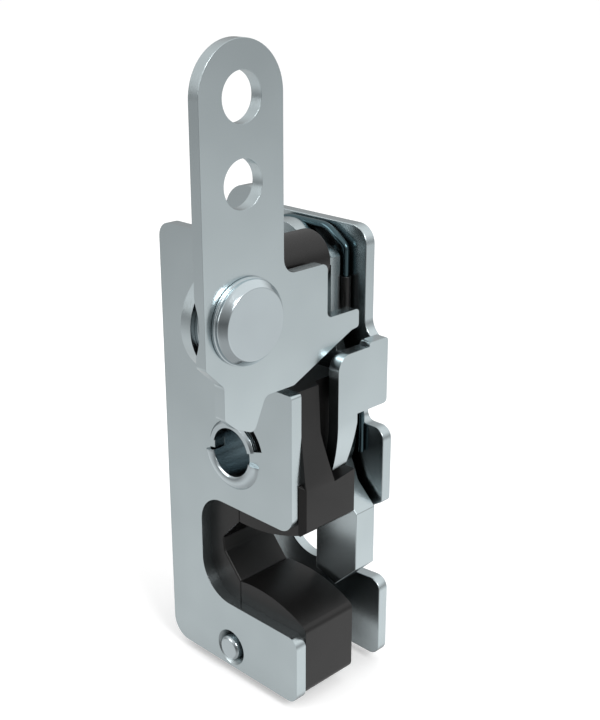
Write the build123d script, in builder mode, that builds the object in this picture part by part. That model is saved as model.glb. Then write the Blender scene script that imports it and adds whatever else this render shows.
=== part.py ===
from build123d import *
import os
from math import cos, degrees, radians, sin

# Rotary latch with a cable trigger lever, shown closed.
# Origin: on the rotor's axis, in the near plate's outer face.
# +X to the front, where the throat opens, +Y across to the far plate, +Z up.

# Sheet metal and the body
sheet = 2.0
body_width = 21.4
rear_x = -16.0
base_z = -39.9
top_z = 34.3
leg_front_x = 14.3
rear_bottom_radius = 3.5
rear_top_radius = 2.5
front_corner_radius = 2.0
far_inner_y = body_width - sheet

# Running and seating clearances
running_fit = 0.05
part_gap = 0.1

# Throat
throat_back_x = -7.9
throat_top_z = -9.65
throat_bottom_z = -28.0
throat_radius = 5.0
throat_low_radius = 6.5
jaw_front_x = 13.3
jaw_corner_radius = 2.6
jaw_crest_radius = 0.5
jaw_top_z = 12.95
cavity_back_x = -5.0

# Far plate, which differs at the front
far_front_x = 10.0
far_jaw_front_x = 14.4
far_jaw_bottom_z = -12.9
far_jaw_slope_run = 3.6
far_jaw_slope_rise = 2.3
far_throat_back_z = -27.0
far_leg_top_z = -25.2
notch_back_x = 9.4
notch_bottom_z = 2.1
notch_top_z = 15.0
lip_front_x = 12.4
lip_top_z = 16.4
lip_slope_rise = 1.2
lip_sweep_radius = 3.2

# Flange that carries the lever
flange_front_x = 10.0
flange_radius = 8.1
bend_inner_radius = 0.8
relief_x = 6.6

# Ear above the flange
ear_x = 4.2
ear_width = 9.0
ear_top_z = 42.8

# Trigger lever
lever_gap = 0.2
lever_sheet = 2.0
lever_pivot_y = -7.75
lever_pivot_z = 26.2
lever_half_width = 7.45
lever_right_y = lever_pivot_y + lever_half_width
lever_left_y = lever_pivot_y - lever_half_width
cable_hole_radius = 3.45
upper_hole_z = 56.6
hole_pitch = 11.4
arm_top_z = 31.2
arm_step_y = 8.6
nose_top_z = 22.8
nose_y = 15.54
nose_bottom_z = 19.9
heel_y = 1.6
heel_z = 14.1
tongue_right_y = -4.4
tongue_tip_z = 9.0
tongue_left_y = -12.0
tongue_left_z = 12.5
shoulder_low_z = 17.5
shoulder_top_z = 20.7
lever_back_x = flange_front_x + lever_gap
lever_front_x = lever_back_x + lever_sheet

# Lever rivet and its washer
lever_rivet_radius = 3.0
lever_head_radius = 6.35
lever_head_rim_height = 0.5
lever_head_step_radius = 6.15
lever_head_step_height = 0.55
lever_head_top_radius = 5.2
lever_head_height = 2.1
lever_tail_radius = 4.6
lever_tail_height = 1.3
washer_thickness = 0.8
washer_radius = 7.35
recess_depth = 0.75
recess_radius = 8.45
recess_floor_radius = 7.6

# Rotor bush, whose near end has two slots for the near plate's keys
bush_radius = 5.2
bush_bore_radius = 4.0
bush_stand_out = 0.35
bush_rim_chamfer = 0.4
key_gap_angle = 4.0
right_key_angles = (-8.0, 15.0)
left_key_angles = (168.0, 187.0)
lip_crest_radius = 4.9
lip_crest_height = 0.65
lip_radius = 6.2
window_angles = (17.0, 75.0)
window_radius = 7.1
clip_groove_y = 0.3
clip_groove_width = 0.45
clip_groove_depth = 0.4

# Rotor, a claw with an inner prong
rotor_wire = 0.9
rotor_thickness = 4.4
rotor_near_y = far_inner_y - rotor_wire - 2 * part_gap - rotor_thickness
rotor_front_x = 13.9
rotor_corner_z = -11.0
rotor_tip_x = 9.3
rotor_tip_z = -25.6
rotor_chamfer_top_z = -21.1
claw_back_x = 5.0
claw_back_z = -24.1
slot_back_x = -4.2
slot_top_z = -12.2
prong_back_x = -8.6
prong_top_z = -7.0
prong_tip_z = -19.0
shoulder_radius = 9.6
rotor_back_radius = 8.0
shoulder_angle = 40.0
rotor_open_angle = 55.0

# Pawl
pawl_x = -4.5
pawl_z = 26.0
pawl_pin_radius = 3.0
pawl_hub_length = 4.2
pawl_hub_far_y = far_inner_y - 2 * part_gap
pawl_hub_near_y = pawl_hub_far_y - pawl_hub_length
pawl_sheet = 2.0
pawl_sheet_setback = 0.4
pawl_near_y = pawl_hub_near_y + pawl_sheet_setback
pawl_hub_radius = 7.8
spring_seat_length = 1.35
spring_seat_y = pawl_hub_far_y - spring_seat_length
spring_seat_depth = 0.9
pawl_hook_x = 6.4
pawl_hook_top_z = 30.2
pawl_hook_rise = 0.4
pawl_lug_width = 2.3
pawl_lug_depth = 1.5
pawl_lug_height = 1.7
pawl_lug_radius = 0.6
pawl_neck_z = 18.6
pawl_neck_run = 1.4
pawl_heel_drop = 6.0
pawl_heel_back = 4.0
tab_back_x = 12.6
tab_sheet = 2.0
tab_top_z = 17.2
tab_bottom_z = 7.0
tab_overhang = 0.3
tab_width = 11.1
tab_far_y = far_inner_y + tab_overhang
tab_near_y = tab_far_y - tab_width
tab_ear_height = 0.65
tab_corner_radius = 0.6
tab_near_radius = 2.5
web_drop = 2.4
web_top_z = tab_top_z - web_drop
leg_far_y = tab_near_y + 4.3
leg_tip_far_y = tab_near_y + 2.9
leg_tip_z = -1.5
leg_setback = 1.1
engagement = 0.35
overtravel = 1.2

# Pawl spacer, stop pin and its sleeve
pawl_spacer_radius = 4.4
stop_x = 4.6
stop_z = 30.0
stop_pin_radius = 2.0
stop_sleeve_radius = 4.4
stop_sleeve_gap = 2.3
stop_sleeve_end_y = pawl_hub_near_y - stop_sleeve_gap

# Springs
pawl_wire = 1.1
wire_bend_radius = 1.2
wire_sweep_radius = 4.0
pawl_leg_x = 6.6
pawl_leg_run_x = 2.6
pawl_leg_corner_z = 30.9
pawl_leg_end_z = 17.6
rotor_spring_x = 10.2
rotor_spring_end_z = -2.6
wire_sleeve_radius = 0.9
wire_sleeve_top_z = 26.2

# Black mouldings between the plates
rotor_spacer_length = 1.0
insert_far_y = rotor_near_y - part_gap - rotor_spacer_length
insert_split_x = -0.7
insert_front_x = 14.3
insert_crease_z = -2.65
insert_top_front_x = 12.5
insert_under_z = -13.3
insert_bulge_x = 6.6
insert_bulge_z = -12.6
insert_nose_z = -9.6
insert_nose_drop = 0.5
insert_nose_chamfer = 0.7
insert_rear_x = -9.0
insert_shelf_z = -6.5
insert_chamfer = 1.0
lip_over_plate = 0.85
pocket_floor_x = 11.0
pocket_slope_run = 1.6
pocket_left_y = 7.2
pocket_knee_z = 5.6
pocket_tip_y = 8.7
pocket_tip_z = -3.0
pocket_right_z = -2.2
liner_rear_x = -14.5
liner_bottom_z = -31.0
cavity_top_z = insert_under_z
cavity_high_z = -17.7
cavity_low_z = -20.1
cavity_low_x = -4.6
cavity_bottom_z = -24.35
bumper_front_x = 14.33
bumper_top_z = -24.3
bumper_crown_x = 6.5
bumper_crown_z = -24.2
bumper_shoulder_z = -26.8
bumper_bottom_z = base_z + 0.9
bumper_nose_radius = 1.4

# Bottom rivet
rivet_x = -1.3
rivet_z = base_z + 3.6
rivet_radius = 2.1
countersink_radius = 3.15
countersink_depth = 1.2
rivet_stand_out = 0.6
rivet_end_chamfer = 0.35
spacer_wall = 1.6


def side_plane(y):
    """XZ plane at depth y, whose sketches are extruded towards -Y."""
    return Plane.XZ.offset(-y)


def polar(radius, angle):
    """Point of the XZ plane at a radius and angle about the rotor's axis."""
    return (radius * cos(radians(angle)), radius * sin(radians(angle)))


def sector_lines(inner, outer, start, end):
    """Outline of a ring's sector about the rotor's axis, between two angles."""
    middle = (start + end) / 2
    Line(polar(inner, start), polar(outer, start))
    ThreePointArc(polar(outer, start), polar(outer, middle), polar(outer, end))
    Line(polar(outer, end), polar(inner, end))
    ThreePointArc(polar(inner, end), polar(inner, middle), polar(inner, start))


# Near side plate: pressed sheet with the throat, the ear and the lever's flange
flange_bottom_z = lever_pivot_z - flange_radius
with BuildPart() as near_plate:
    with BuildSketch(side_plane(sheet)) as near_outline:
        with BuildLine():
            Polyline(
                (rear_x, base_z),
                (leg_front_x, base_z),
                (leg_front_x, throat_bottom_z),
                (throat_back_x, throat_bottom_z),
                (throat_back_x, throat_top_z),
                (jaw_front_x, throat_top_z),
                (jaw_front_x, jaw_top_z),
                (relief_x, jaw_top_z),
                (relief_x, flange_bottom_z),
                (flange_front_x, flange_bottom_z),
                (flange_front_x, top_z),
                (rear_x, top_z),
                close=True,
            )
        make_face()
        corners = near_outline.vertices()
        rear_bottom = corners.sort_by(lambda v: v.X + v.Y)[0]
        fillet(rear_bottom, rear_bottom_radius)
        corners = near_outline.vertices()
        fillet(corners.sort_by(lambda v: v.X - v.Y)[0], rear_top_radius)
        fillet(near_outline.vertices().sort_by(lambda v: v.Y - v.X)[0], front_corner_radius)
        leg_corner = near_outline.vertices().sort_by_distance((leg_front_x, throat_bottom_z))[0]
        fillet(leg_corner, front_corner_radius - 0.2)
        low_corner = near_outline.vertices().sort_by_distance((throat_back_x, throat_bottom_z))[0]
        fillet(low_corner, throat_low_radius)
        high_corner = near_outline.vertices().sort_by_distance((throat_back_x, throat_top_z))[0]
        fillet(high_corner, throat_radius)
        jaw_corner = near_outline.vertices().sort_by_distance((jaw_front_x, throat_top_z))[0]
        fillet(jaw_corner, jaw_corner_radius)
        jaw_crest = near_outline.vertices().sort_by_distance((jaw_front_x, jaw_top_z))[0]
        fillet(jaw_crest, jaw_crest_radius)
        with Locations((ear_x, ear_top_z - ear_width / 2)):
            Circle(ear_width / 2)
        with Locations((ear_x, (top_z + ear_top_z - ear_width / 2) / 2)):
            Rectangle(ear_width, ear_top_z - ear_width / 2 - top_z)
    extrude(amount=sheet)
    with BuildSketch(Plane.YZ.offset(flange_front_x)):
        with Locations((lever_pivot_y, lever_pivot_z)):
            Circle(flange_radius)
        with Locations((lever_pivot_y / 2, lever_pivot_z)):
            Rectangle(-lever_pivot_y, 2 * flange_radius)
    extrude(amount=-sheet)
    upright = near_plate.edges().filter_by(Axis.Z)
    inside_bend = upright.sort_by_distance((flange_front_x - sheet, 0, lever_pivot_z))[0]
    fillet(inside_bend, bend_inner_radius)
    upright = near_plate.edges().filter_by(Axis.Z)
    outside_bend = upright.sort_by_distance((flange_front_x, sheet, lever_pivot_z))[0]
    fillet(outside_bend, sheet - bend_inner_radius / 2)
    with BuildSketch(side_plane(sheet)):
        Circle(bush_radius)
        with Locations((pawl_x, pawl_z)):
            Circle(pawl_pin_radius)
        with Locations((stop_x, stop_z)):
            Circle(stop_pin_radius)
        with Locations((rivet_x, rivet_z)):
            Circle(rivet_radius)
    extrude(amount=sheet, mode=Mode.SUBTRACT)
    with BuildSketch(side_plane(sheet)):
        with BuildLine():
            sector_lines(bush_radius - part_gap, window_radius, *window_angles)
        make_face()
    extrude(amount=sheet, mode=Mode.SUBTRACT)
    for key_angles in (right_key_angles, left_key_angles):
        with BuildSketch(side_plane(sheet)):
            with BuildLine():
                sector_lines(bush_bore_radius + running_fit, bush_radius + part_gap, *key_angles)
            make_face()
        extrude(amount=sheet)
    with BuildSketch(side_plane(0)):
        with Locations((rivet_x, rivet_z)):
            Circle(countersink_radius)
    with BuildSketch(side_plane(countersink_depth)):
        with Locations((rivet_x, rivet_z)):
            Circle(rivet_radius)
    loft(mode=Mode.SUBTRACT)
    with BuildSketch(Plane.YZ.offset(flange_front_x)):
        with Locations((lever_pivot_y, lever_pivot_z)):
            Circle(lever_rivet_radius)
    extrude(amount=-sheet, mode=Mode.SUBTRACT)
near_plate.part.label = "near_plate"

# Far side plate: notched behind the pawl's tab
far_jaw_slope_z = far_jaw_bottom_z + far_jaw_slope_rise
lip_slope_z = lip_top_z + lip_slope_rise
with BuildPart() as far_plate:
    with BuildSketch(side_plane(body_width)) as far_outline:
        with BuildLine():
            Polyline(
                (rear_x, base_z),
                (far_jaw_front_x, base_z),
                (far_jaw_front_x, far_leg_top_z),
                (throat_back_x, far_throat_back_z),
                (throat_back_x, far_jaw_bottom_z),
                (far_jaw_front_x - far_jaw_slope_run, far_jaw_bottom_z),
                (far_jaw_front_x, far_jaw_slope_z),
                (far_jaw_front_x, notch_bottom_z),
                (notch_back_x, notch_bottom_z),
                (notch_back_x, notch_top_z),
                (lip_front_x, notch_top_z),
                (lip_front_x, lip_top_z),
                (far_front_x, lip_slope_z),
                (far_front_x, top_z),
                (rear_x, top_z),
                close=True,
            )
        make_face()
        rounded = [
            (rear_x, base_z, rear_bottom_radius),
            (far_jaw_front_x, base_z, front_corner_radius),
            (far_jaw_front_x, far_leg_top_z, front_corner_radius),
            (throat_back_x, far_throat_back_z, throat_low_radius),
            (throat_back_x, far_jaw_bottom_z, jaw_corner_radius),
            (far_jaw_front_x, far_jaw_slope_z, 0.8),
            (far_jaw_front_x, notch_bottom_z, front_corner_radius),
            (notch_back_x, notch_bottom_z, 1.4),
            (notch_back_x, notch_top_z, 1.4),
            (far_front_x, lip_slope_z, lip_sweep_radius),
            (far_front_x, top_z, 3.0),
            (rear_x, top_z, rear_top_radius),
        ]
        for x, z, radius in rounded:
            fillet(far_outline.vertices().sort_by_distance((x, z))[0], radius)
    extrude(amount=sheet)
    with BuildSketch(side_plane(body_width)):
        Circle(bush_radius)
        with Locations((pawl_x, pawl_z)):
            Circle(pawl_pin_radius)
        with Locations((rivet_x, rivet_z)):
            Circle(rivet_radius)
    extrude(amount=sheet, mode=Mode.SUBTRACT)
    with BuildSketch(side_plane(body_width)):
        with Locations((rivet_x, rivet_z)):
            Circle(countersink_radius)
    with BuildSketch(side_plane(body_width - countersink_depth)):
        with Locations((rivet_x, rivet_z)):
            Circle(rivet_radius)
    loft(mode=Mode.SUBTRACT)
far_plate.part.label = "far_plate"

# Trigger lever: flat, with two cable holes, a nose to the far side and a tongue
with BuildPart() as trigger_lever:
    with BuildSketch(Plane.YZ.offset(lever_front_x)) as lever_outline:
        with BuildLine():
            Polyline(
                (lever_right_y, upper_hole_z),
                (lever_right_y, arm_top_z),
                (arm_step_y, arm_top_z),
                (arm_step_y, nose_top_z),
                (nose_y, nose_top_z),
                (nose_y, nose_bottom_z),
                (nose_y - 1.6, nose_bottom_z - 0.2),
                (heel_y, heel_z),
                (tongue_right_y + 0.3, heel_z),
                (tongue_right_y - 2.0, tongue_tip_z),
                (tongue_left_y + 2.2, tongue_tip_z + 1.5),
                (tongue_left_y, tongue_left_z),
                (tongue_left_y, shoulder_low_z),
                (lever_left_y, shoulder_top_z),
                (lever_left_y, upper_hole_z),
            )
            top_point = (lever_pivot_y, upper_hole_z + lever_half_width)
            ThreePointArc((lever_left_y, upper_hole_z), top_point, (lever_right_y, upper_hole_z))
        make_face()
        rounded = [
            (lever_right_y, arm_top_z, 2.4),
            (arm_step_y, arm_top_z, 1.0),
            (arm_step_y, nose_top_z, 1.0),
            (nose_y, nose_top_z, 0.6),
            (nose_y, nose_bottom_z, 0.6),
            (heel_y, heel_z, 1.5),
            (tongue_right_y + 0.3, heel_z, 1.2),
            (tongue_right_y - 2.0, tongue_tip_z, 1.0),
            (tongue_left_y + 2.2, tongue_tip_z + 1.5, 1.5),
            (tongue_left_y, tongue_left_z, 0.6),
            (tongue_left_y, shoulder_low_z, 0.8),
            (lever_left_y, shoulder_top_z, 0.8),
        ]
        for y, z, radius in rounded:
            fillet(lever_outline.vertices().sort_by_distance((y, z))[0], radius)
        with Locations((lever_pivot_y, upper_hole_z), (lever_pivot_y, upper_hole_z - hole_pitch)):
            Circle(cable_hole_radius, mode=Mode.SUBTRACT)
        with Locations((lever_pivot_y, lever_pivot_z)):
            Circle(lever_rivet_radius + running_fit, mode=Mode.SUBTRACT)
    extrude(amount=-lever_sheet)
    with BuildSketch(Plane.YZ.offset(lever_back_x)):
        with Locations((lever_pivot_y, lever_pivot_z)):
            Circle(recess_radius)
    with BuildSketch(Plane.YZ.offset(lever_back_x + recess_depth)):
        with Locations((lever_pivot_y, lever_pivot_z)):
            Circle(recess_floor_radius)
    loft(mode=Mode.SUBTRACT)
trigger_lever.part.label = "trigger_lever"

# Lever rivet: shoulder rivet with a broad stepped head, upset behind the flange
lever_pivot_plane = Plane(origin=(0, lever_pivot_y, lever_pivot_z), x_dir=(0, 1, 0), z_dir=(1, 0, 0))
with BuildPart() as lever_rivet:
    head_x = lever_front_x + running_fit
    with BuildSketch(lever_pivot_plane.offset(flange_front_x - sheet - lever_tail_height)):
        Circle(lever_tail_radius)
    extrude(amount=lever_tail_height)
    with BuildSketch(lever_pivot_plane.offset(flange_front_x - sheet)):
        Circle(lever_rivet_radius)
    extrude(amount=head_x - flange_front_x + sheet)
    with BuildSketch(lever_pivot_plane.offset(head_x)):
        Circle(lever_head_radius)
    extrude(amount=lever_head_rim_height)
    step_x = head_x + lever_head_rim_height
    with BuildSketch(lever_pivot_plane.offset(step_x)):
        Circle(lever_head_step_radius)
    extrude(amount=lever_head_step_height)
    with BuildSketch(lever_pivot_plane.offset(step_x + lever_head_step_height)):
        Circle(lever_head_step_radius)
    with BuildSketch(lever_pivot_plane.offset(head_x + lever_head_height)):
        Circle(lever_head_top_radius)
    loft()
    tail_rim = lever_rivet.edges().filter_by(GeomType.CIRCLE).sort_by(Axis.X)[0]
    fillet(tail_rim, 0.5)
lever_rivet.part.label = "lever_rivet"

# Washer between the flange and the lever's recess
with BuildPart() as lever_washer:
    with BuildSketch(lever_pivot_plane.offset(flange_front_x)):
        Circle(washer_radius)
        Circle(lever_rivet_radius, mode=Mode.SUBTRACT)
    extrude(amount=washer_thickness)
lever_washer.part.label = "lever_washer"

# Rotor bush: sleeve through both plates, slotted for the keys, its lower half rolled to a bead
lip_way = polar(1, right_key_angles[0])
lip_plane = Plane(origin=(0, 0, 0), x_dir=(lip_way[0], 0, lip_way[1]), z_dir=(-lip_way[1], 0, lip_way[0]))
lip_arc = 360 + right_key_angles[0] - left_key_angles[1] - key_gap_angle
with BuildPart() as rotor_bush:
    with BuildSketch(side_plane(body_width)):
        Circle(bush_radius)
    extrude(amount=body_width + bush_stand_out)
    near_rim = rotor_bush.edges().filter_by(GeomType.CIRCLE).sort_by(Axis.Y)[0]
    chamfer(near_rim, bush_rim_chamfer)
    with BuildSketch(side_plane(clip_groove_y + clip_groove_width)):
        Circle(bush_radius)
        Circle(bush_radius - clip_groove_depth, mode=Mode.SUBTRACT)
    extrude(amount=clip_groove_width, mode=Mode.SUBTRACT)
    with BuildSketch(lip_plane):
        with BuildLine():
            lip_inside = (bush_bore_radius, -bush_stand_out)
            lip_crest = (lip_crest_radius, -lip_crest_height)
            ThreePointArc(lip_inside, lip_crest, (lip_radius, 0))
            Polyline((lip_radius, 0), (bush_bore_radius, 0), lip_inside)
        make_face()
    revolve(axis=Axis.Y, revolution_arc=lip_arc)
    slots = (right_key_angles, (left_key_angles[0], left_key_angles[1] + key_gap_angle))
    for slot_angles in slots:
        with BuildSketch(side_plane(sheet)):
            with BuildLine():
                sector_lines(bush_bore_radius - part_gap, bush_radius + part_gap, *slot_angles)
            make_face()
        extrude(amount=sheet + lip_crest_height, mode=Mode.SUBTRACT)
    with BuildSketch(side_plane(body_width)):
        Circle(bush_bore_radius)
    extrude(amount=body_width + lip_crest_height, mode=Mode.SUBTRACT)
rotor_bush.part.label = "rotor_bush"

# Rotor: steel claw that closes the throat, with the shoulder the pawl holds
with BuildPart() as rotor:
    with BuildSketch(side_plane(rotor_near_y + rotor_thickness)) as rotor_outline:
        with BuildLine():
            hub_start = polar(shoulder_radius, -24)
            shoulder_out = polar(shoulder_radius, shoulder_angle)
            shoulder_in = polar(rotor_back_radius, shoulder_angle)
            hub_end = polar(rotor_back_radius, 200)
            ThreePointArc(hub_start, polar(shoulder_radius, 0), shoulder_out)
            Line(shoulder_out, shoulder_in)
            ThreePointArc(shoulder_in, polar(rotor_back_radius, 120), hub_end)
            Polyline(
                hub_end,
                (prong_back_x, prong_top_z),
                (prong_back_x, prong_tip_z + 1.5),
                (prong_back_x + 1.5, prong_tip_z),
                (slot_back_x, prong_tip_z),
                (slot_back_x, slot_top_z),
                (claw_back_x, slot_top_z),
                (claw_back_x, claw_back_z),
                (rotor_tip_x, rotor_tip_z),
                (rotor_front_x, rotor_chamfer_top_z),
                (rotor_front_x, rotor_corner_z),
                (rotor_front_x - 3.6, rotor_corner_z + 3.4),
                hub_start,
            )
        make_face()
        for x in (slot_back_x, claw_back_x):
            slot_corner = rotor_outline.vertices().sort_by_distance((x, slot_top_z))[0]
            fillet(slot_corner, 3.4)
        Circle(bush_radius + running_fit, mode=Mode.SUBTRACT)
    extrude(amount=rotor_thickness)
rotor.part.label = "rotor"

# Spacer on the bush between the mouldings and the rotor
with BuildPart() as rotor_spacer:
    with BuildSketch(side_plane(rotor_near_y - part_gap)):
        Circle(rotor_back_radius)
        Circle(bush_radius, mode=Mode.SUBTRACT)
    extrude(amount=rotor_spacer_length)
rotor_spacer.part.label = "rotor_spacer"

# Pawl: hub, plate with the locking nose, and the bent tab with its leg in front
nose_inner_radius = shoulder_radius - engagement
nose_angle = shoulder_angle + degrees(overtravel / shoulder_radius)
nose_point = polar(nose_inner_radius, nose_angle)
nose_heel = polar(nose_inner_radius + 1.0, nose_angle)
tab_front_x = tab_back_x + tab_sheet
with BuildPart() as pawl:
    with BuildSketch(side_plane(pawl_near_y + pawl_sheet)) as pawl_outline:
        with BuildLine():
            Polyline(
                nose_point,
                nose_heel,
                (tab_front_x, tab_bottom_z + 0.3),
                (tab_front_x, tab_top_z),
                (tab_back_x, tab_top_z),
                (tab_back_x, web_top_z),
                (pawl_hook_x + pawl_neck_run, web_top_z),
                (pawl_hook_x, pawl_neck_z),
                (pawl_hook_x, pawl_hook_top_z - pawl_lug_radius),
                (pawl_hook_x - pawl_lug_radius, pawl_hook_top_z),
                (pawl_hook_x - pawl_lug_depth, pawl_hook_top_z + pawl_hook_rise),
                (pawl_x + 1.5, pawl_z + pawl_hub_radius - 0.2),
                (pawl_x, pawl_z),
                (pawl_x - pawl_heel_back, pawl_z - pawl_heel_drop),
                polar(nose_inner_radius, nose_angle + 14),
                close=True,
            )
        make_face()
        with Locations((pawl_x, pawl_z)):
            Circle(pawl_hub_radius)
    extrude(amount=pawl_sheet)
    with BuildSketch(side_plane(pawl_near_y)) as lug_outline:
        with Locations((pawl_hook_x - pawl_lug_depth / 2, pawl_hook_top_z - pawl_lug_height / 2)):
            Rectangle(pawl_lug_depth, pawl_lug_height)
        lug_corner = lug_outline.vertices().sort_by_distance((pawl_hook_x, pawl_hook_top_z))[0]
        fillet(lug_corner, pawl_lug_radius)
    extrude(amount=pawl_lug_width)
    with BuildSketch(side_plane(spring_seat_y)):
        with Locations((pawl_x, pawl_z)):
            Circle(pawl_hub_radius)
    extrude(amount=spring_seat_y - pawl_hub_near_y)
    with BuildSketch(side_plane(pawl_hub_far_y)):
        with Locations((pawl_x, pawl_z)):
            Circle(pawl_hub_radius - spring_seat_depth)
    extrude(amount=pawl_hub_far_y - spring_seat_y)
    with BuildSketch(Plane.YZ.offset(tab_front_x)) as tab_outline:
        with BuildLine():
            Polyline(
                (tab_near_y, tab_top_z),
                (tab_far_y, tab_top_z),
                (tab_far_y, tab_bottom_z),
                (tab_near_y, tab_bottom_z),
                close=True,
            )
        make_face()
        fillet(tab_outline.vertices().sort_by_distance((tab_far_y, tab_bottom_z))[0], 0.7)
        near_corner = tab_outline.vertices().sort_by_distance((tab_near_y, tab_top_z))[0]
        fillet(near_corner, tab_near_radius)
    extrude(amount=-tab_sheet)
    with BuildSketch(Plane.YZ.offset(tab_front_x)) as ear_outline:
        with Locations(((pawl_near_y + tab_far_y) / 2, tab_top_z)):
            Rectangle(tab_far_y - pawl_near_y, 2 * tab_ear_height)
        fillet(ear_outline.vertices().group_by(Axis.Y)[-1], tab_corner_radius)
    extrude(amount=-tab_sheet)
    with BuildSketch(side_plane(leg_far_y)):
        with BuildLine():
            tip_front = (tab_front_x - leg_setback, leg_tip_z)
            tip_back = (tab_back_x - leg_setback, leg_tip_z)
            Line((tab_back_x, tab_bottom_z), (tab_front_x, tab_bottom_z))
            ThreePointArc((tab_front_x, tab_bottom_z), (tab_front_x - 0.25, 2.5), tip_front)
            Line(tip_front, tip_back)
            ThreePointArc(tip_back, (tab_back_x - 0.25, 2.5), (tab_back_x, tab_bottom_z))
        make_face()
    extrude(amount=leg_far_y - tab_near_y)
    with BuildSketch(Plane.YZ.offset(tab_front_x)):
        with BuildLine():
            Polyline(
                (leg_far_y, tab_bottom_z - 1.5),
                (leg_far_y + 1.0, tab_bottom_z - 1.5),
                (leg_far_y + 1.0, leg_tip_z),
                (leg_tip_far_y, leg_tip_z),
                close=True,
            )
        make_face()
    extrude(amount=-2 * tab_sheet, mode=Mode.SUBTRACT)
    with BuildSketch(side_plane(pawl_hub_far_y)):
        with Locations((pawl_x, pawl_z)):
            Circle(pawl_pin_radius + running_fit)
    extrude(amount=pawl_hub_far_y - pawl_hub_near_y, mode=Mode.SUBTRACT)
pawl.part.label = "pawl"

# Pawl pin, riveted flush in both plates
pawl_axis_plane = Plane(origin=(pawl_x, body_width, pawl_z), x_dir=(1, 0, 0), z_dir=(0, -1, 0))
with BuildPart() as pawl_pin:
    with BuildSketch(pawl_axis_plane):
        Circle(pawl_pin_radius)
    extrude(amount=body_width)
    chamfer(pawl_pin.edges().filter_by(GeomType.CIRCLE), 0.3)
pawl_pin.part.label = "pawl_pin"

# Spacer sleeve that keeps the pawl's place along its pin
with BuildPart() as pawl_spacer:
    with BuildSketch(pawl_axis_plane.offset(body_width - pawl_hub_near_y + part_gap)):
        Circle(pawl_spacer_radius)
        Circle(pawl_pin_radius, mode=Mode.SUBTRACT)
    extrude(amount=pawl_hub_near_y - part_gap - sheet)
pawl_spacer.part.label = "pawl_spacer"

# Torsion spring round the pawl's hub, with one leg down the far plate
pawl_spring_y = spring_seat_y + part_gap / 2 + pawl_wire / 2
pawl_coil_radius = pawl_hub_radius - spring_seat_depth + part_gap + pawl_wire / 2
with BuildPart() as pawl_spring:
    with BuildLine(side_plane(pawl_spring_y)) as pawl_wire_path:
        coil = CenterArc((pawl_x, pawl_z), pawl_coil_radius, 90, 300)
        leg_run = (pawl_leg_run_x, pawl_z + pawl_coil_radius)
        leg_corner = (pawl_leg_x, pawl_leg_corner_z)
        leg_end = (pawl_leg_x, pawl_leg_end_z)
        bends = [wire_sweep_radius, wire_bend_radius]
        FilletPolyline(coil @ 0, leg_run, leg_corner, leg_end, radius=bends)
    with BuildSketch(Plane.XY.offset(pawl_leg_end_z)):
        with Locations((pawl_leg_x, pawl_spring_y)):
            Circle(pawl_wire / 2)
    sweep(path=pawl_wire_path.line)
pawl_spring.part.label = "pawl_spring"

# Sleeve on the spring's leg
with BuildPart() as spring_sleeve:
    with BuildSketch(Plane.XY.offset(pawl_leg_end_z)):
        with Locations((pawl_leg_x, pawl_spring_y)):
            Circle(wire_sleeve_radius)
            Circle(pawl_wire / 2, mode=Mode.SUBTRACT)
    extrude(amount=wire_sleeve_top_z - pawl_leg_end_z)
spring_sleeve.part.label = "spring_sleeve"

# Torsion spring of the rotor, between the rotor and the far plate
rotor_spring_y = far_inner_y - part_gap - rotor_wire / 2
rotor_coil_radius = bush_radius + part_gap + rotor_wire / 2
with BuildPart() as rotor_spring:
    with BuildLine(side_plane(rotor_spring_y)) as rotor_wire_path:
        turn = CenterArc((0, 0), rotor_coil_radius, 90, 300)
        leg_corner = (rotor_spring_x, rotor_coil_radius)
        leg_end = (rotor_spring_x, rotor_spring_end_z)
        FilletPolyline(turn @ 0, leg_corner, leg_end, radius=2 * wire_bend_radius)
    with BuildSketch(Plane.XY.offset(rotor_spring_end_z)):
        with Locations((rotor_spring_x, rotor_spring_y)):
            Circle(rotor_wire / 2)
    sweep(path=rotor_wire_path.line)
rotor_spring.part.label = "rotor_spring"

# Stop pin in the near plate and its black buffer sleeve
stop_plane = Plane(origin=(stop_x, stop_sleeve_end_y, stop_z), x_dir=(1, 0, 0), z_dir=(0, -1, 0))
with BuildPart() as stop_pin:
    with BuildSketch(stop_plane):
        Circle(stop_pin_radius)
    extrude(amount=stop_sleeve_end_y)
    chamfer(stop_pin.edges().filter_by(GeomType.CIRCLE), 0.3)
stop_pin.part.label = "stop_pin"

with BuildPart() as stop_sleeve:
    with BuildSketch(stop_plane):
        Circle(stop_sleeve_radius)
        Circle(stop_pin_radius, mode=Mode.SUBTRACT)
    extrude(amount=stop_sleeve_end_y - sheet)
    far_rims = stop_sleeve.edges().filter_by(GeomType.CIRCLE).group_by(Axis.Y)[-1]
    fillet(far_rims.sort_by(SortBy.RADIUS)[-1], 0.4)
stop_sleeve.part.label = "stop_sleeve"

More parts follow.
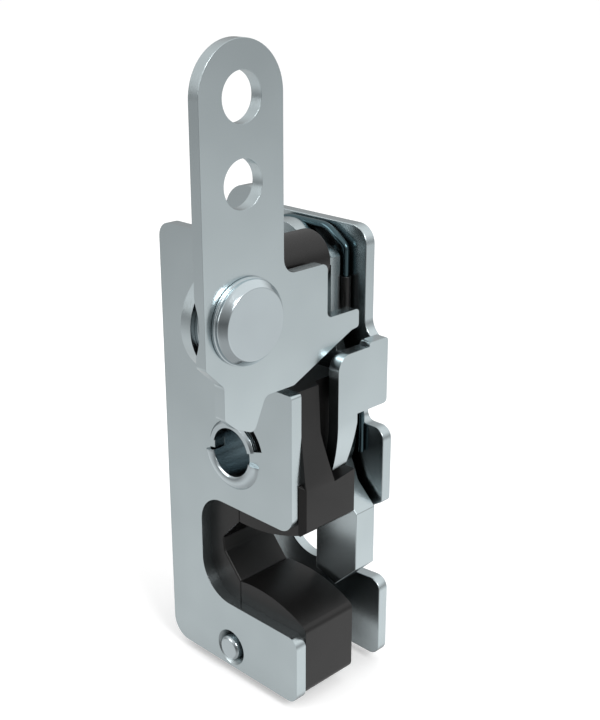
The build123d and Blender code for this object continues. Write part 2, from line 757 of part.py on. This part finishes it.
# Upper insert: black moulding over the throat, located by the bush
with BuildPart() as upper_insert:
    with BuildSketch(side_plane(insert_far_y)):
        with BuildLine():
            under_start = (insert_split_x, insert_under_z)
            under_end = (insert_front_x - insert_nose_chamfer, insert_nose_z - insert_nose_chamfer)
            ThreePointArc(under_start, (insert_bulge_x, insert_bulge_z), under_end)
            Polyline(
                under_end,
                (insert_front_x, insert_nose_z),
                (insert_front_x, insert_crease_z),
                (insert_top_front_x, jaw_top_z),
                (insert_rear_x, jaw_top_z),
                (insert_rear_x, insert_shelf_z),
                (insert_split_x, insert_shelf_z),
                under_start,
            )
        make_face()
        Circle(bush_radius, mode=Mode.SUBTRACT)
    extrude(amount=insert_far_y - sheet)
    insert_near_y = sheet - lip_over_plate
    with BuildSketch(side_plane(sheet)):
        with BuildLine():
            Polyline(
                (jaw_front_x + part_gap, insert_crease_z + lip_over_plate),
                (insert_front_x, insert_crease_z),
                (insert_front_x, insert_nose_z),
                under_end,
                (jaw_front_x + part_gap, insert_nose_z - insert_nose_drop),
                close=True,
            )
        make_face()
    extrude(amount=lip_over_plate)
    with BuildSketch(Plane.XY.offset(insert_crease_z + lip_over_plate)):
        with BuildLine():
            Polyline(
                (insert_front_x - insert_chamfer, insert_near_y),
                (insert_front_x - insert_chamfer, 0),
                (insert_front_x + insert_chamfer, 0),
                (insert_front_x + insert_chamfer, insert_near_y + insert_chamfer),
                (insert_front_x, insert_near_y + insert_chamfer),
                close=True,
            )
        make_face()
    extrude(amount=insert_under_z - insert_crease_z - lip_over_plate, mode=Mode.SUBTRACT)
    for pocket_x, slope in ((pocket_floor_x, 0), (insert_front_x, pocket_slope_run)):
        with BuildSketch(Plane.YZ.offset(pocket_x)):
            with BuildLine():
                Polyline(
                    (pocket_left_y - slope, jaw_top_z + 1),
                    (pocket_left_y - slope, pocket_knee_z),
                    (pocket_tip_y - slope / 4, pocket_tip_z),
                    (insert_far_y + 1, pocket_right_z),
                    (insert_far_y + 1, jaw_top_z + 1),
                    close=True,
                )
            make_face()
    loft(mode=Mode.SUBTRACT)
upper_insert.part.label = "upper_insert"

# Throat liner: black moulding round the closed end of the throat
with BuildPart() as throat_liner:
    with BuildSketch(side_plane(insert_far_y)) as liner_outline:
        with BuildLine():
            Polyline(
                (insert_split_x - part_gap, insert_shelf_z - part_gap),
                (insert_split_x - part_gap, cavity_top_z),
                (cavity_back_x, cavity_high_z),
                (cavity_low_x, cavity_low_z),
                (insert_split_x - part_gap, cavity_bottom_z),
                (insert_split_x - part_gap, liner_bottom_z),
                (liner_rear_x, liner_bottom_z),
                (liner_rear_x, insert_shelf_z - part_gap),
                close=True,
            )
        make_face()
    extrude(amount=insert_far_y - sheet)
throat_liner.part.label = "throat_liner"

# Lower bumper: black moulding under the throat, held by the bottom rivet
bumper_shelf_z = liner_bottom_z - part_gap
with BuildPart() as lower_bumper:
    with BuildSketch(side_plane(insert_far_y)) as bumper_outline:
        with BuildLine():
            crown_start = (insert_split_x, bumper_top_z)
            crown_end = (bumper_front_x, bumper_shoulder_z)
            ThreePointArc(crown_start, (bumper_crown_x, bumper_crown_z), crown_end)
            Polyline(
                crown_end,
                (bumper_front_x, bumper_bottom_z),
                (liner_rear_x, bumper_bottom_z),
                (liner_rear_x, bumper_shelf_z),
                (insert_split_x, bumper_shelf_z),
                crown_start,
            )
        make_face()
        fillet(bumper_outline.vertices().sort_by_distance(crown_end)[0], bumper_nose_radius)
        foot = bumper_outline.vertices().sort_by_distance((bumper_front_x, bumper_bottom_z))[0]
        fillet(foot, bumper_nose_radius)
        with Locations((rivet_x, rivet_z)):
            Circle(rivet_radius, mode=Mode.SUBTRACT)
    extrude(amount=insert_far_y - sheet)
lower_bumper.part.label = "lower_bumper"

# Bottom rivet: stands out of the near plate's countersink, flush in the far plate
rivet_plane = Plane(origin=(rivet_x, body_width, rivet_z), x_dir=(1, 0, 0), z_dir=(0, -1, 0))
with BuildPart() as bumper_rivet:
    with BuildSketch(rivet_plane):
        Circle(rivet_radius)
    extrude(amount=body_width + rivet_stand_out)
    near_end = bumper_rivet.edges().filter_by(GeomType.CIRCLE).sort_by(Axis.Y)[0]
    chamfer(near_end, rivet_end_chamfer)
    with BuildSketch(rivet_plane):
        Circle(countersink_radius)
    with BuildSketch(rivet_plane.offset(countersink_depth)):
        Circle(rivet_radius)
    loft()
bumper_rivet.part.label = "bumper_rivet"

# Spacer round the bottom rivet, from the bumper to the far plate
with BuildPart() as bumper_spacer:
    with BuildSketch(rivet_plane.offset(sheet)):
        Circle(rivet_radius + spacer_wall)
        Circle(rivet_radius, mode=Mode.SUBTRACT)
    extrude(amount=far_inner_y - insert_far_y)
bumper_spacer.part.label = "bumper_spacer"

os.makedirs("parts", exist_ok=True)
export_step(near_plate.part, "parts/near_plate.step")
export_step(far_plate.part, "parts/far_plate.step")
export_step(trigger_lever.part, "parts/trigger_lever.step")
export_step(lever_rivet.part, "parts/lever_rivet.step")
export_step(lever_washer.part, "parts/lever_washer.step")
export_step(rotor_bush.part, "parts/rotor_bush.step")
export_step(rotor.part, "parts/rotor.step")
export_step(rotor_spacer.part, "parts/rotor_spacer.step")
export_step(rotor_spring.part, "parts/rotor_spring.step")
export_step(pawl.part, "parts/pawl.step")
export_step(pawl_pin.part, "parts/pawl_pin.step")
export_step(pawl_spacer.part, "parts/pawl_spacer.step")
export_step(pawl_spring.part, "parts/pawl_spring.step")
export_step(spring_sleeve.part, "parts/spring_sleeve.step")
export_step(stop_pin.part, "parts/stop_pin.step")
export_step(stop_sleeve.part, "parts/stop_sleeve.step")
export_step(upper_insert.part, "parts/upper_insert.step")
export_step(throat_liner.part, "parts/throat_liner.step")
export_step(lower_bumper.part, "parts/lower_bumper.step")
export_step(bumper_rivet.part, "parts/bumper_rivet.step")
export_step(bumper_spacer.part, "parts/bumper_spacer.step")
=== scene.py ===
"""Looks of the rotary latch: zinc-plated plates and lever, black mouldings, turned rivets, springs.

Lengths are in metres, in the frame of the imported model: X to the front, Y from the near plate to
the far plate, Z up, with the origin on the rotor's axis in the near plate's outer face.
"""
import math

import bpy
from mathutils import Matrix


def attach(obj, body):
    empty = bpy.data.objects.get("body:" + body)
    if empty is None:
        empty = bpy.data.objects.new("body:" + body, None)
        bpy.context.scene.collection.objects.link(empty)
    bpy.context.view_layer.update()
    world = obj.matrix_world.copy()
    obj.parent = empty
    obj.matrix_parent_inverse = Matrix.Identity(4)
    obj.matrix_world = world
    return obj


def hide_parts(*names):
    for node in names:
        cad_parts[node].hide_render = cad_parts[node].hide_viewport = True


MM = 0.001

# Camera, as the photograph was taken: place in metres, turns in degrees, lens in millimetres
CAMERA_PLACE = (0.12698, -0.11236, 0.07759)
CAMERA_TILT = 69.8
CAMERA_TURN = 44.9
CAMERA_LENS = 59.35
CAMERA_NEAREST = 0.005

# Rounding of the cut edges
SHEET_EDGE = 0.16 * MM
MOULDED_EDGE = 0.30 * MM
TURNED_EDGE = 0.10 * MM
EDGE_STEPS = 3
ONE_POINT = 0.002 * MM
ONE_FACE_ANGLE = 0.3
SHARP_ANGLE = 32.0
FACE_AREA_WEIGHT = 100

# Sizes of the surface patterns, in millimetres
CLOUD_SIZE = 14.0
# Reach of the painted corner shade
PAINTED_SHADE_REACH = 14.0
SATIN_GRAIN = 0.3
SHEET_WAVE = 12.0
FLOW_MARK = 6.0
NYLON_TEXTURE = 0.22
RUBBER_TEXTURE = 0.30

# Steps of finer noise in each pattern
GRAIN_DETAIL = 2.0
WAVE_DETAIL = 1.0
FLOW_DETAIL = 3.0

# Heights and strengths of the bumps
WAVE_HEIGHT = 0.05 * MM
WAVE_STRENGTH = 0.02
SPARK_HEIGHT = 0.03 * MM
SPARK_STRENGTH = 0.08

# Roughness of the finishes, how far their grain moves it up and down, and the gloss of the blacks
SHEET_ROUGHNESS = 0.24
TURNED_ROUGHNESS = 0.17
NYLON_ROUGHNESS = 0.36
RUBBER_ROUGHNESS = 0.30
WIRE_ROUGHNESS = 0.17
SATIN_SPREAD = 0.015
SPARK_SPREAD = 0.03
MOULDED_IOR = 1.46

# Colours, sRGB
ZINC = "C5D0D3"
ZINC_SHADE = "BDC8CB"
PIN_STEEL = "CAD5D9"
PIN_SHADE = "BEC8CC"
SPRING_STEEL = "50646A"
BLACK_NYLON = "0C0C0C"
BLACK_NYLON_FLOW = "131212"
BLACK_RUBBER = "0A0909"
FLOOR_WHITE = "F2F2F2"
WHITE = (1.0, 1.0, 1.0, 1.0)

# Painted shade: share of the metal's colour left in the deepest corners between the pieces, where
# shade falls
SHEET_PAINTED_SHADE = 0.10
TURNED_PAINTED_SHADE = 0.80

# For the painted shade: how open a place is when it counts as deepest, and when it counts as free
SHUT_IN = 0.10
OPEN_AIR = 0.60
PAINTED_SHADE_RAYS = 8

# Strengths of the studio, where 1 is white
HORIZON_LEVEL = 0.37
REAR_LEVEL = 0.76
FRONT_LEVEL = 1.05
REAR_CORNER_LEVEL = 0.66
FRONT_CORNER_LEVEL = 0.42
GROUND_LEVEL = 0.55

# Where those strengths begin and end, in parts of a ray's direction
WALL_TOP = 0.48
SIDE_SPAN = 1.2
CORNER_SPAN = 0.6
CORNER_START = -0.40
CORNER_END = -0.05
GROUND_START = -0.95
GROUND_END = -0.60

# Lamps and floor
LAMP_AIM = (0, 0, 0.01)
KEY_LAMP = {"place": (0.55, -0.10, 0.42), "size": 0.26, "power": 2.2}
LEFT_LAMP = {"place": (-0.30, -0.65, 0.30), "size": 0.4, "power": 1.2}
FLOOR_SIZE = 6.0
FLOOR_Z = -0.0415
FLOOR_GLOW = 0.30


def colour(code):
    """Linear RGBA of an sRGB hex code."""
    channels = [int(code[i : i + 2], 16) / 255 for i in (0, 2, 4)]
    linear = [c / 12.92 if c <= 0.04045 else ((c + 0.055) / 1.055) ** 2.4 for c in channels]
    return (*linear, 1.0)


def add_node(tree, kind, inputs=None, **settings):
    """Adds one node with its settings, and sets or links each named input."""
    node = tree.nodes.new(kind)
    for key, value in settings.items():
        setattr(node, key, value)
    for key, value in (inputs or {}).items():
        if isinstance(value, bpy.types.NodeSocket):
            tree.links.new(value, node.inputs[key])
        else:
            node.inputs[key].default_value = value
    return node


def new_material(name, **shader_inputs):
    """A material with one Principled shader, and its tree, shader and object coordinates."""
    material = bpy.data.materials.new(name)
    material.use_nodes = True
    tree = material.node_tree
    tree.nodes.clear()
    shader = add_node(tree, "ShaderNodeBsdfPrincipled", shader_inputs)
    add_node(tree, "ShaderNodeOutputMaterial", {"Surface": shader.outputs["BSDF"]})
    place = add_node(tree, "ShaderNodeTexCoord").outputs["Object"]
    return material, tree, shader, place


def mottle(tree, place, size_mm, detail=GRAIN_DETAIL):
    """Noise whose blotches are about size_mm across."""
    scale = 1.0 / (size_mm * MM)
    return add_node(
        tree, "ShaderNodeTexNoise", {"Vector": place, "Scale": scale, "Detail": detail}
    ).outputs["Fac"]


def remap(tree, value, low, high, start=0.3, end=0.7):
    """The value between start and end, mapped to low and high."""
    return add_node(
        tree,
        "ShaderNodeMapRange",
        {"Value": value, "From Min": start, "From Max": end, "To Min": low, "To Max": high},
    ).outputs["Result"]


def painted_corner_shade(tree, tone, share):
    """Painted shade: the colour, darkened where other surfaces stand close around it, as between
    the plates, where shade falls.
    """
    openness = add_node(
        tree,
        "ShaderNodeAmbientOcclusion",
        {"Distance": PAINTED_SHADE_REACH * MM},
        samples=PAINTED_SHADE_RAYS,
    ).outputs["AO"]
    left = remap(tree, openness, share, 1.0, SHUT_IN, OPEN_AIR)
    return add_node(
        tree, "ShaderNodeVectorMath", {0: tone, 1: left}, operation="MULTIPLY"
    ).outputs[0]


def zinc_plated_steel(name, light, dark, roughness, painted_shade_share, wave=0.0):
    """Bright zinc on steel: a calm, faintly cool metal with soft mirror images, the plating's thin
    clouds, a very fine satin grain and painted shade, darker in the corners between the pieces.
    Rolled sheet also has slow waves in its surface."""
    material, tree, shader, place = new_material(name, Metallic=1.0)
    clouds = remap(tree, mottle(tree, place, CLOUD_SIZE), 0.0, 1.0)
    tone = add_node(tree, "ShaderNodeMix", {"Factor": clouds}, data_type="RGBA")
    tone.inputs["A"].default_value = colour(dark)
    tone.inputs["B"].default_value = colour(light)
    # Painted shade: the colour darkens where other surfaces stand close, as between the plates
    painted_shade_tone = painted_corner_shade(tree, tone.outputs["Result"], painted_shade_share)
    tree.links.new(painted_shade_tone, shader.inputs["Base Color"])
    grain = mottle(tree, place, SATIN_GRAIN)
    gloss = remap(tree, grain, roughness - SATIN_SPREAD, roughness + SATIN_SPREAD)
    tree.links.new(gloss, shader.inputs["Roughness"])
    if wave:
        height = mottle(tree, place, SHEET_WAVE, WAVE_DETAIL)
        rolled = add_node(
            tree, "ShaderNodeBump", {"Height": height, "Strength": wave, "Distance": WAVE_HEIGHT}
        )
        tree.links.new(rolled.outputs["Normal"], shader.inputs["Normal"])
    return material


def moulded_black(name, base, flow, roughness, texture_size):
    """Moulded black, either glass-filled nylon or rubber: near black in the shade, with a soft grey
    sheen from the mould's fine spark-eroded texture and flow marks a shade lighter."""
    material, tree, shader, place = new_material(name, IOR=MOULDED_IOR)
    marks = remap(tree, mottle(tree, place, FLOW_MARK, FLOW_DETAIL), 0.0, 1.0)
    tone = add_node(tree, "ShaderNodeMix", {"Factor": marks}, data_type="RGBA")
    tone.inputs["A"].default_value = colour(base)
    tone.inputs["B"].default_value = colour(flow)
    tree.links.new(tone.outputs["Result"], shader.inputs["Base Color"])
    sparks = mottle(tree, place, texture_size)
    sheen = remap(tree, sparks, roughness - SPARK_SPREAD, roughness + SPARK_SPREAD)
    tree.links.new(sheen, shader.inputs["Roughness"])
    texture = add_node(
        tree,
        "ShaderNodeBump",
        {"Height": sparks, "Strength": SPARK_STRENGTH, "Distance": SPARK_HEIGHT},
    )
    tree.links.new(texture.outputs["Normal"], shader.inputs["Normal"])
    return material


def spring_wire():
    """Oil-tempered spring wire: dark blue-green steel, with a wet gloss over a very fine grain."""
    material, tree, shader, place = new_material("oil_tempered_wire", Metallic=1.0)
    shader.inputs["Base Color"].default_value = colour(SPRING_STEEL)
    grain = mottle(tree, place, SATIN_GRAIN)
    gloss = remap(tree, grain, WIRE_ROUGHNESS - SPARK_SPREAD, WIRE_ROUGHNESS + SPARK_SPREAD)
    tree.links.new(gloss, shader.inputs["Roughness"])
    return material


def dressed(node, body, material, edge=0.0):
    """A copy of a CAD piece with its cut edges rounded, which stands for that piece."""
    bpy.ops.object.select_all(action="DESELECT")
    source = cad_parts[node]
    piece = source.copy()
    piece.data = source.data.copy()
    piece.name = node + "_piece"
    piece.parent = None
    for key in list(piece.keys()):
        del piece[key]
    bpy.context.scene.collection.objects.link(piece)
    bpy.context.view_layer.objects.active = piece
    piece.select_set(True)
    bpy.ops.object.mode_set(mode="EDIT")
    bpy.ops.mesh.select_all(action="SELECT")
    bpy.ops.mesh.remove_doubles(threshold=ONE_POINT)
    bpy.ops.mesh.dissolve_limited(angle_limit=math.radians(ONE_FACE_ANGLE))
    bpy.ops.object.mode_set(mode="OBJECT")
    if edge:
        rounding = piece.modifiers.new("edge_rounding", "BEVEL")
        rounding.width = edge
        rounding.segments = EDGE_STEPS
        rounding.limit_method = "ANGLE"
        rounding.angle_limit = math.radians(SHARP_ANGLE)
        rounding.miter_outer = "MITER_ARC"
        bpy.ops.object.modifier_apply(modifier=rounding.name)
    bpy.ops.object.shade_smooth_by_angle(angle=math.radians(SHARP_ANGLE))
    flatness = piece.modifiers.new("flat_faces", "WEIGHTED_NORMAL")
    flatness.keep_sharp = True
    flatness.weight = FACE_AREA_WEIGHT
    bpy.ops.object.modifier_apply(modifier=flatness.name)
    piece.data.materials.clear()
    piece.data.materials.append(material)
    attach(piece, body)
    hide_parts(node)
    return piece


def make_camera():
    """The photograph's view."""
    data = bpy.data.cameras.new("photo_camera")
    data.lens = CAMERA_LENS
    data.clip_start = CAMERA_NEAREST
    camera = bpy.data.objects.new("photo_camera", data)
    camera.location = CAMERA_PLACE
    camera.rotation_euler = (math.radians(CAMERA_TILT), 0, math.radians(CAMERA_TURN))
    bpy.context.scene.collection.objects.link(camera)
    bpy.context.scene.camera = camera


def make_world():
    """White to the camera. For all other rays, a soft studio: darkest at the horizon, with a light
    wall in front and dark corners before and behind."""
    world = bpy.data.worlds.new("white_studio")
    bpy.context.scene.world = world
    world.use_nodes = True
    tree = world.node_tree
    tree.nodes.clear()
    way = add_node(tree, "ShaderNodeTexCoord").outputs["Generated"]
    parts = add_node(tree, "ShaderNodeSeparateXYZ", {"Vector": way}).outputs
    height = add_node(tree, "ShaderNodeMath", {0: parts["Z"]}, operation="ABSOLUTE").outputs[0]
    level = remap(tree, height, HORIZON_LEVEL, 1.0, 0.0, WALL_TOP)
    across = add_node(
        tree, "ShaderNodeMath", {0: parts["X"], 1: parts["Y"]}, operation="ADD"
    ).outputs[0]
    side = remap(tree, across, REAR_LEVEL, FRONT_LEVEL, -SIDE_SPAN, SIDE_SPAN)
    quarter = add_node(
        tree, "ShaderNodeMath", {0: parts["X"], 1: parts["Y"]}, operation="MULTIPLY"
    ).outputs[0]
    ahead = add_node(
        tree, "ShaderNodeMath", {0: parts["X"], 1: parts["Y"]}, operation="SUBTRACT"
    ).outputs[0]
    depth = remap(
        tree, ahead, REAR_CORNER_LEVEL, FRONT_CORNER_LEVEL, -CORNER_SPAN, CORNER_SPAN
    )
    corner = remap(tree, quarter, depth, 1.0, CORNER_START, CORNER_END)
    ground = remap(tree, parts["Z"], GROUND_LEVEL, 1.0, GROUND_START, GROUND_END)
    strength = level
    for share in (side, corner, ground):
        strength = add_node(
            tree, "ShaderNodeMath", {0: strength, 1: share}, operation="MULTIPLY"
        ).outputs[0]
    studio = add_node(tree, "ShaderNodeBackground", {"Color": WHITE, "Strength": strength})
    backdrop = add_node(tree, "ShaderNodeBackground", {"Color": WHITE, "Strength": 1.0})
    seen = add_node(tree, "ShaderNodeLightPath").outputs["Is Camera Ray"]
    either = add_node(
        tree,
        "ShaderNodeMixShader",
        {0: seen, 1: studio.outputs["Background"], 2: backdrop.outputs["Background"]},
    )
    add_node(tree, "ShaderNodeOutputWorld", {"Surface": either.outputs["Shader"]})


def make_lamp(name, place, size, power):
    """One soft square lamp, aimed at the middle of the latch."""
    data = bpy.data.lights.new(name, "AREA")
    data.size = size
    data.energy = power
    lamp = bpy.data.objects.new(name, data)
    lamp.location = place
    way = [a - p for a, p in zip(LAMP_AIM, place)]
    length = math.hypot(*way)
    lamp.rotation_euler = (
        math.acos(-way[2] / length),
        0,
        math.atan2(way[1], way[0]) - math.pi / 2,
    )
    bpy.context.scene.collection.objects.link(lamp)


def make_floor():
    """A pale floor just under the latch, white to the camera but for the latch's shadow."""
    bpy.ops.object.select_all(action="DESELECT")
    bpy.ops.mesh.primitive_plane_add(size=FLOOR_SIZE, location=(0, 0, FLOOR_Z))
    floor = bpy.context.active_object
    floor.name = "studio_floor"
    material = bpy.data.materials.new("matt_white_card")
    material.use_nodes = True
    tree = material.node_tree
    tree.nodes.clear()
    card = add_node(tree, "ShaderNodeBsdfDiffuse", {"Color": colour(FLOOR_WHITE)})
    seen = add_node(tree, "ShaderNodeLightPath").outputs["Is Camera Ray"]
    lift = add_node(
        tree, "ShaderNodeMath", {0: seen, 1: FLOOR_GLOW}, operation="MULTIPLY"
    ).outputs[0]
    glow = add_node(tree, "ShaderNodeEmission", {"Color": WHITE, "Strength": lift})
    both = add_node(
        tree, "ShaderNodeAddShader", {0: card.outputs["BSDF"], 1: glow.outputs["Emission"]}
    )
    add_node(tree, "ShaderNodeOutputMaterial", {"Surface": both.outputs["Shader"]})
    floor.data.materials.append(material)
    floor.visible_glossy = False


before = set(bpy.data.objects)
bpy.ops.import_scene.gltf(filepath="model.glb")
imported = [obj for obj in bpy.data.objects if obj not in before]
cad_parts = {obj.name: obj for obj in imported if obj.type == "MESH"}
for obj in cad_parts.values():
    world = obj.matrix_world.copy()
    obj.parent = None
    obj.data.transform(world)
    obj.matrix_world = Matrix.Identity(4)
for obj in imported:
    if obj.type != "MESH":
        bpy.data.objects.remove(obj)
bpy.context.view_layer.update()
bpy.context.scene.view_settings.view_transform = "Standard"

make_camera()
make_world()
make_lamp("key_lamp", **KEY_LAMP)
make_lamp("left_lamp", **LEFT_LAMP)
make_floor()

# Both zinc finishes get shade painted into their colour between the pieces, more on the sheet than
# on the turned steel
zinc_sheet = zinc_plated_steel(
    "zinc_plated_sheet", ZINC, ZINC_SHADE, SHEET_ROUGHNESS, SHEET_PAINTED_SHADE, WAVE_STRENGTH
)
turned_steel = zinc_plated_steel(
    "turned_zinc_steel", PIN_STEEL, PIN_SHADE, TURNED_ROUGHNESS, TURNED_PAINTED_SHADE
)
black_nylon = moulded_black(
    "glass_filled_nylon", BLACK_NYLON, BLACK_NYLON_FLOW, NYLON_ROUGHNESS, NYLON_TEXTURE
)
black_rubber = moulded_black(
    "buffer_rubber", BLACK_RUBBER, BLACK_NYLON_FLOW, RUBBER_ROUGHNESS, RUBBER_TEXTURE
)
wire_steel = spring_wire()

for node, body in (
    ("near_plate", "root"),
    ("far_plate", "root"),
    ("trigger_lever", "trigger"),
    ("rotor", "claw"),
    ("pawl", "catch"),
):
    dressed(node, body, zinc_sheet, SHEET_EDGE)
for node in ("upper_insert", "throat_liner", "lower_bumper", "rotor_spacer"):
    dressed(node, "root", black_nylon, MOULDED_EDGE)
for node in ("stop_sleeve", "spring_sleeve"):
    dressed(node, "root", black_rubber, TURNED_EDGE)
for node in (
    "rotor_bush",
    "lever_rivet",
    "lever_washer",
    "pawl_pin",
    "pawl_spacer",
    "stop_pin",
    "bumper_rivet",
    "bumper_spacer",
):
    dressed(node, "root", turned_steel, TURNED_EDGE)
for node in ("pawl_spring", "rotor_spring"):
    dressed(node, "root", wire_steel)
